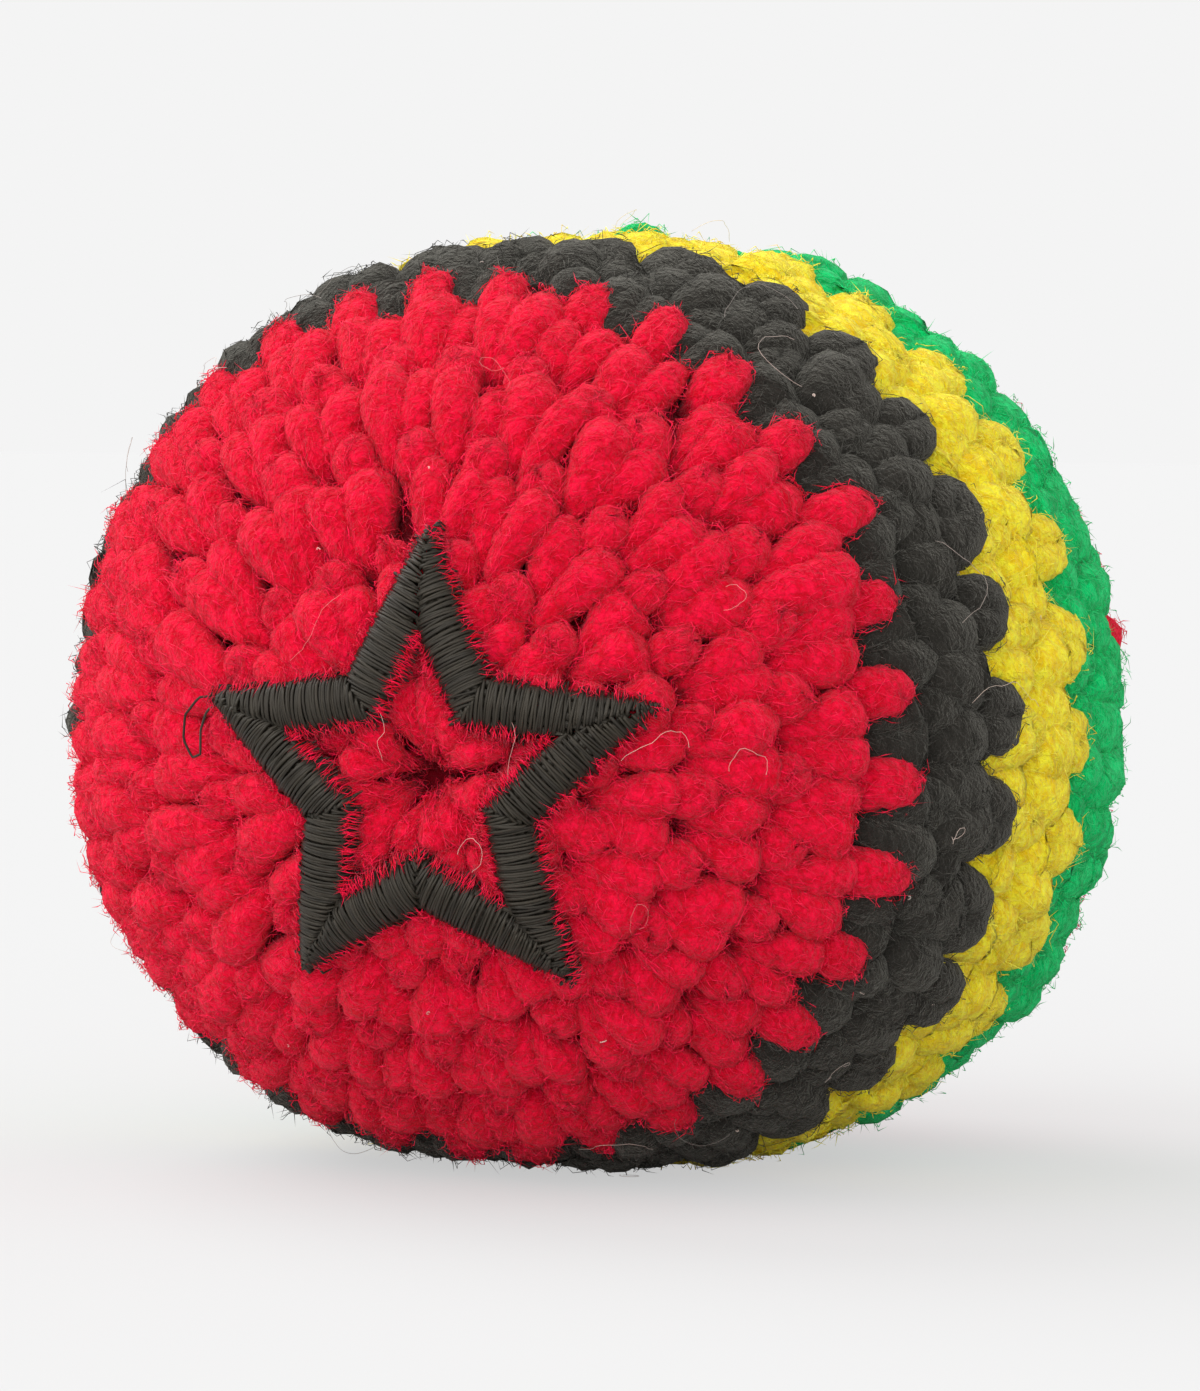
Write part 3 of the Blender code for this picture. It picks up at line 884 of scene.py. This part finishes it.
# The yarn's end: an overhand knot that sits in the mouth of the last round's hole
knot = {
    "seat": 25.7 * mm,            # from the bag's centre
    "height": 2.3 * mm,
    "width": 2.6 * mm,            # out to the middle of the yarn, times the loop's form
    "yarnRadius": 0.72 * mm,
    "sunk": 0.55,                 # of the yarn's radius, at the top and bottom of the loops
    "shankEnd": 24.75 * mm,
    "leftOpen": (0.35, 0.25),     # radians, at the loop's start and end
    "loopPoints": 60,
    "tail": [(-0.7, 0.1, -0.9), (-1.1, -0.2, -2.0), (-1.2, -0.9, -3.1)],    # mm on from the loop
    "tailThickness": [0.9, 0.7, 0.35],
    "points": 90,
    "shortFibres": 1400,
    "longFibres": 260,
}


def makeKnot():
    turn = np.linspace(knot["leftOpen"][0], 2 * math.pi - knot["leftOpen"][1], knot["loopPoints"])
    reach = (2 + np.cos(3 * turn)) / 3 * (knot["width"] - knot["yarnRadius"])
    middle = knot["seat"] + knot["height"] / 2
    rise = knot["height"] / 2 - knot["sunk"] * knot["yarnRadius"]
    forward = middle + rise * np.sin(3 * turn)
    loop = np.stack([reach * np.cos(2 * turn), forward, reach * np.sin(2 * turn)], -1)
    shank = np.array([[0, knot["shankEnd"], 0], [0.1 * mm, knot["seat"] + 0.1 * mm, 0.1 * mm]])
    tail = loop[-1] + np.array(knot["tail"]) * mm
    path = pipeAlong(np.concatenate([shank, loop, tail]) + bagCentre, np.linspace(0, 1, knot["points"]))
    radius = np.full(len(path), knot["yarnRadius"])
    radius[-3:] *= knot["tailThickness"]
    mesh = tubes("closing_knot_yarn", [path], [radius], armShape["sides"])
    weld(mesh)
    piece = addPiece("closing_knot_yarn", mesh, yarnMaterials["red"])
    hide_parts("closing_knot")

    def lineAt(which, s):
        return pipeAlong(path, s), np.full(s.shape, knot["yarnRadius"])

    pathLength = np.linalg.norm(np.diff(path, axis=0), axis=1).sum()
    for kindName in ("short", "long"):
        which = np.zeros(knot[kindName + "Fibres"], int)
        points = combFuzz(lineAt, which, pathLength, fuzz[kindName])
        addFibres(f"closing_knot_{kindName}_fuzz", points, fuzz[kindName]["radius"],
                  fuzz[kindName]["mostPerPiece"], fuzzMaterials["red"])
    print("knot tied")


makeKnot()

# The plastic pellets inside, packed loosely
pellets = {
    "size": 3.5 * mm,
    "height": 2.6 * mm,
    "spacing": 3.8 * mm,
    "depth": 3.7 * mm,            # of the fill's surface in the bag
    "farthest": 30 * mm,          # from the bag's centre
    "shift": 0.12 * mm,
    "offCentre": 0.1 * mm,
    "sides": 8,
    "rim": 0.7 * mm,
    "colours": ((0.66, 0.66, 0.62), (0.8, 0.8, 0.77)),
    "cloudScale": 900,
    "roughness": 0.35,
    "glow": 0.2,                  # weight of the light that passes under the surface
    "glowDepth": 1.5 * mm,
}


def pelletMaterial(name):
    material, nodes, links, shader = newMaterial(name)
    place = addNode(nodes, "ShaderNodeTexCoord")
    cloudy = addNode(nodes, "ShaderNodeTexNoise", Scale=pellets["cloudScale"], Detail=2)
    links.new(place.outputs["Object"], cloudy.inputs["Vector"])
    colour = addRamp(nodes, links, cloudy.outputs["Fac"], (0, 1), pellets["colours"])
    links.new(colour, shader.inputs["Base Color"])
    shader.inputs["Roughness"].default_value = pellets["roughness"]
    shader.inputs["Subsurface Weight"].default_value = pellets["glow"]
    shader.inputs["Subsurface Scale"].default_value = pellets["glowDepth"]
    return material


def makePellets():
    reach = int(pellets["farthest"] / pellets["spacing"]) + 1
    steps = np.arange(-reach * 2, reach * 2 + 1)
    a, b, c = np.meshgrid(steps, steps, steps, indexing="ij")
    lattice = np.stack([b + c, a + c, a + b], -1).reshape(-1, 3) * pellets["spacing"] / math.sqrt(2)
    lattice += rng.normal(0, pellets["shift"], lattice.shape) + pellets["offCentre"]
    distance = np.linalg.norm(lattice, axis=1)
    direction = lattice / distance[:, None]
    room = bagReach(direction) - pellets["depth"] - pellets["size"] / 2
    lowest = pellets["depth"] + pellets["size"] / 2 - bag["widestHeight"]
    kept = lattice[(distance < room) & (lattice[:, 2] > lowest)]
    work = bmesh.new()
    bmesh.ops.create_cone(work, cap_ends=True, segments=pellets["sides"], radius1=pellets["size"] / 2,
                          radius2=pellets["size"] / 2, depth=pellets["height"])
    rims = [edge for edge in work.edges if abs(edge.verts[0].co.z - edge.verts[1].co.z) < 0.1 * mm]
    bmesh.ops.bevel(work, geom=rims, offset=pellets["rim"], offset_type="OFFSET", segments=1,
                    profile=0.5, affect="EDGES", material=-1)
    shape = bpy.data.meshes.new("pellet")
    work.to_mesh(shape)
    work.clear()
    for place in kept:
        before = len(work.verts)
        work.from_mesh(shape)
        work.verts.ensure_lookup_table()
        turned = Euler(rng.uniform(0, 2 * math.pi, 3)).to_matrix().to_4x4()
        bmesh.ops.transform(work, verts=work.verts[before:],
                            matrix=Matrix.Translation(place + bagCentre) @ turned)
    mesh = bpy.data.meshes.new("pellets")
    work.to_mesh(mesh)
    work.free()
    bpy.data.meshes.remove(shape)
    piece = addPiece("pellets", mesh, pelletMaterial("pelletPlastic"))
    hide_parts("pellet_fill")
    print(len(kept), "pellets")


makePellets()

# Loose hairs, curled over the surface, and specks of lint that cling to it
strays = {
    "on": {
        "red": {"hairs": 9, "specks": 8, "polar": (0.15, 1.0), "colour": (0.7, 0.14, 0.15)},
        "black": {"hairs": 14, "specks": 12, "polar": (1.1, 1.35), "colour": (0.2, 0.18, 0.16)},
        "yellow": {"hairs": 4, "specks": 3, "polar": (1.4, 1.65), "colour": (0.6, 0.5, 0.15)},
    },
    "palest": (0.74, 0.58, 0.5),
    "roughness": 0.5,
    "steps": 16,
    "hairLength": (2.5 * mm, 7.0 * mm),
    "speckLength": (0.2 * mm, 0.45 * mm),
    "bend": 0.2,                  # radians at each step, one way
    "turning": 0.3,               # and to and fro
    "above": 0.45 * mm,           # over the smooth bag
    "lift": (0.5 * mm, 1.3 * mm),         # and more than that in the middle of a hair
    "speckLift": (0.0, 0.1 * mm),
    "arch": (0.1, 0.95),          # how much of the way up and down again, in half turns
    "clearance": 0.1 * mm,        # from the floor
    "hairRadius": 0.011 * mm,
    "speckRadius": 0.03 * mm,
    "sides": 4,
}


def strayPaths(count, polarRange, lengths, lift):
    steps = strays["steps"]
    heading = rng.uniform(0, 2 * math.pi, (count, 1)) + np.cumsum(
        rng.normal(0, strays["bend"], (count, 1)) + rng.normal(0, strays["turning"], (count, steps)),
        axis=1)
    stride = rng.uniform(*lengths, (count, 1)) / steps
    polar = rng.uniform(*polarRange, (count, 1)) + np.cumsum(np.cos(heading) * stride, axis=1) / meanRadius
    around = rng.uniform(0, 2 * math.pi, (count, 1))
    around = around + np.cumsum(np.sin(heading) * stride, axis=1) / meanRadius / np.sin(polar)
    height = rng.uniform(*lift, (count, 1)) * np.sin(np.linspace(*strays["arch"], steps) * math.pi)
    return onBag(crochetDirection(polar, around), -strays["above"] - height, strays["clearance"])


def strayMaterial(name, hairColour):
    material, nodes, links, shader = newMaterial(name)
    piece = addNode(nodes, "ShaderNodeNewGeometry")
    colour = addRamp(nodes, links, piece.outputs["Random Per Island"], (0, 1),
                     (hairColour, strays["palest"]))
    links.new(colour, shader.inputs["Base Color"])
    shader.inputs["Roughness"].default_value = strays["roughness"]
    return material


def makeStrays():
    for yarn, stray in strays["on"].items():
        hairs = strayPaths(stray["hairs"], stray["polar"], strays["hairLength"], strays["lift"])
        specks = strayPaths(stray["specks"], stray["polar"], strays["speckLength"], strays["speckLift"])
        radii = [np.full(strays["steps"], strays["hairRadius"])] * len(hairs)
        radii += [np.full(strays["steps"], strays["speckRadius"])] * len(specks)
        mesh = tubes(yarn + "_stray_hairs", list(hairs) + list(specks), radii, strays["sides"])
        weld(mesh)
        material = strayMaterial(yarn + "Hair", stray["colour"])
        addPiece(yarn + "_stray_hairs", mesh, material)
    print("stray hairs laid")


makeStrays()

# Camera, as the photograph was taken: 328 mm from the bag, a little above its middle
view = {"azimuth": 27.0, "elevation": 2.75, "roll": 0.35, "distance": 328 * mm, "lens": 155.3,
        "aimUp": 1.61 * mm, "aimRight": 0.1 * mm}


def makeCamera():
    azimuth, elevation = math.radians(view["azimuth"]), math.radians(view["elevation"])
    back = Vector((math.sin(azimuth) * math.cos(elevation), -math.cos(azimuth) * math.cos(elevation),
                   math.sin(elevation)))
    right = Vector((math.cos(azimuth), math.sin(azimuth), 0))
    up = back.cross(right)
    data = bpy.data.cameras.new("camera")
    data.lens = view["lens"]
    data.sensor_width = 36
    data.clip_start, data.clip_end = 0.01, 20
    camera = bpy.data.objects.new("camera", data)
    bpy.context.scene.collection.objects.link(camera)
    aim = Vector(bagCentre) + up * view["aimUp"] + right * view["aimRight"]
    camera.location = aim + back * view["distance"]
    turned = (-back).to_track_quat("-Z", "Y").to_matrix().to_4x4()
    camera.rotation_euler = turned.to_euler()
    camera.rotation_euler.rotate_axis("Z", math.radians(view["roll"]))
    bpy.context.scene.camera = camera


makeCamera()

# A plain pale floor and surroundings of the same colour, one soft lamp at the upper left, one
# behind it and a level one in front. Softness is in degrees.
studio = {
    "pale": (0.905, 0.905, 0.905),
    "surround": 1.05,             # strength of the light from all round
    "lamps": {"softLamp": {"strength": 1.05, "softness": 50, "from": (-0.55, -0.62, 0.75)},
              "rimLamp": {"strength": 1.6, "softness": 40, "from": (-0.75, 0.35, 0.8)},
              "fillLamp": {"strength": 1.5, "softness": 60, "from": (0.25, -1.0, 0.1)}},
    "floorSize": 8.0,
    "floorShade": 0.4,            # how much of the floor's shadow shows
}


def makeLamp(name, lampData):
    data = bpy.data.lights.new(name, "SUN")
    data.energy = lampData["strength"]
    data.angle = math.radians(lampData["softness"])
    lamp = bpy.data.objects.new(name, data)
    bpy.context.scene.collection.objects.link(lamp)
    lamp.location = Vector(lampData["from"])
    lamp.rotation_euler = (-Vector(lampData["from"])).to_track_quat("-Z", "Y").to_euler()


def makeStudio():
    world = bpy.data.worlds.new("studio")
    bpy.context.scene.world = world
    world.use_nodes = True
    nodes, links = world.node_tree.nodes, world.node_tree.links
    sky = nodes["Background"]
    sky.inputs["Color"].default_value = (1, 1, 1, 1)
    sky.inputs["Strength"].default_value = studio["surround"]
    seen = addNode(nodes, "ShaderNodeBackground", Color=(*studio["pale"], 1), Strength=1.0)
    rays = addNode(nodes, "ShaderNodeLightPath")
    mix = addNode(nodes, "ShaderNodeMixShader")
    links.new(rays.outputs["Is Camera Ray"], mix.inputs["Fac"])
    links.new(sky.outputs["Background"], mix.inputs[1])
    links.new(seen.outputs["Background"], mix.inputs[2])
    links.new(mix.outputs["Shader"], nodes["World Output"].inputs["Surface"])

    work = bmesh.new()
    bmesh.ops.create_grid(work, x_segments=1, y_segments=1, size=studio["floorSize"] / 2)
    mesh = bpy.data.meshes.new("floor")
    work.to_mesh(mesh)
    work.free()
    floor = bpy.data.objects.new("floor", mesh)
    bpy.context.scene.collection.objects.link(floor)
    material, nodes, links, shader = newMaterial("floorPaper")
    lit = studio["surround"]
    for lampData in studio["lamps"].values():
        lit += lampData["strength"] * Vector(lampData["from"]).normalized().z / math.pi
    paper = min(studio["pale"][0] / lit, 1)
    shader.inputs["Base Color"].default_value = (paper, paper, paper, 1)
    shader.inputs["Roughness"].default_value = 1.0
    shader.inputs["Specular IOR Level"].default_value = 0.0
    shade = studio["floorShade"]
    glowing = (studio["pale"][0] - shade * paper * lit) / (1 - shade)
    glow = addNode(nodes, "ShaderNodeEmission", Color=(glowing, glowing, glowing, 1), Strength=1.0)
    rays = addNode(nodes, "ShaderNodeLightPath")
    share = addNode(nodes, "ShaderNodeMath", operation="MULTIPLY")
    share.inputs[1].default_value = 1 - shade
    links.new(rays.outputs["Is Camera Ray"], share.inputs[0])
    mix = addNode(nodes, "ShaderNodeMixShader")
    links.new(share.outputs[0], mix.inputs["Fac"])
    links.new(shader.outputs["BSDF"], mix.inputs[1])
    links.new(glow.outputs["Emission"], mix.inputs[2])
    links.new(mix.outputs["Shader"], nodes["Material Output"].inputs["Surface"])
    mesh.materials.append(material)
    for name, lampData in studio["lamps"].items():
        makeLamp(name, lampData)


makeStudio()
bpy.context.scene.view_settings.view_transform = "Standard"
print("studio ready")
